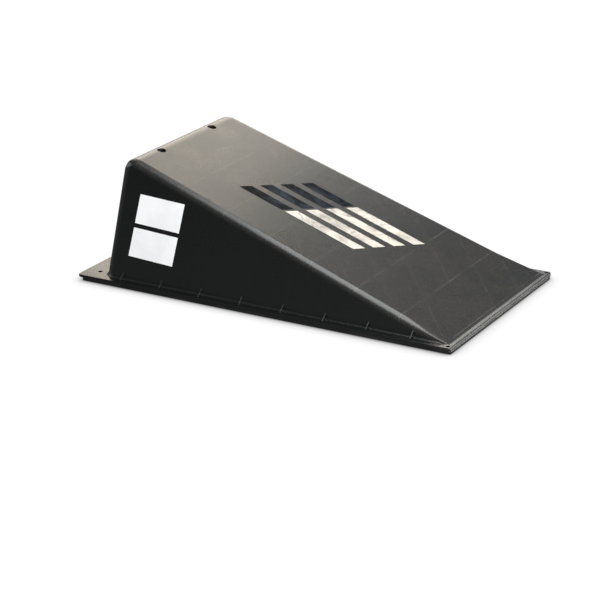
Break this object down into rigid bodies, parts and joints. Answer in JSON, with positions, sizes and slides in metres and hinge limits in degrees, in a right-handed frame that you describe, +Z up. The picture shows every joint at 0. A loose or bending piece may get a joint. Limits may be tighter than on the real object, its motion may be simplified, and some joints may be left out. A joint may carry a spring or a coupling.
{
  "type": "launch ramp",
  "caption": "Rigid moulded plastic wedge ramp with drafted walls, a webbed and drilled flange on base rails, and a rib frame under the deck.",
  "frame": {"origin": "on the ground under the middle of the flange", "axes": "+X down the ramp to the front lip, +Y across to the right-hand side of a rider going up, +Z up"},
  "size_m": [0.9, 0.48, 0.275],
  "materials": {
    "shell_plastic": "black, fine spark-eroded grain, satin",
    "rail_plastic": "black, smooth satin",
    "rib_plastic": "dark grey, as moulded",
    "insert_brass": "knurled, bright",
    "screw_steel": "zinc plated",
    "pad_rubber": "soft, matt",
    "white_film": "printed white, satin",
    "dark_film": "printed black, gloss",
    "pale_film": "printed cream with grey clouding, satin"
  },
  "bodies": {
    "root": {"ramp_shell": "shell_plastic", "front_rail": "rail_plastic", "rear_rail": "rail_plastic", "side_rail_left": "rail_plastic", "side_rail_right": "rail_plastic", "cross_rib_1": "rib_plastic", "cross_rib_2": "rib_plastic", "cross_rib_3": "rib_plastic", "cross_rib_4": "rib_plastic", "cross_rib_5": "rib_plastic", "cross_rib_6": "rib_plastic", "long_tie_left": "rib_plastic", "long_tie_centre": "rib_plastic", "long_tie_right": "rib_plastic", "threaded_inserts": "insert_brass", "frame_screws": "screw_steel", "foot_pads": "pad_rubber", "side_graphic_left": "white_film", "side_graphic_right": "white_film", "deck_graphic_dark": "dark_film", "deck_graphic_pale": "pale_film"}
  },
  "joints": []
}
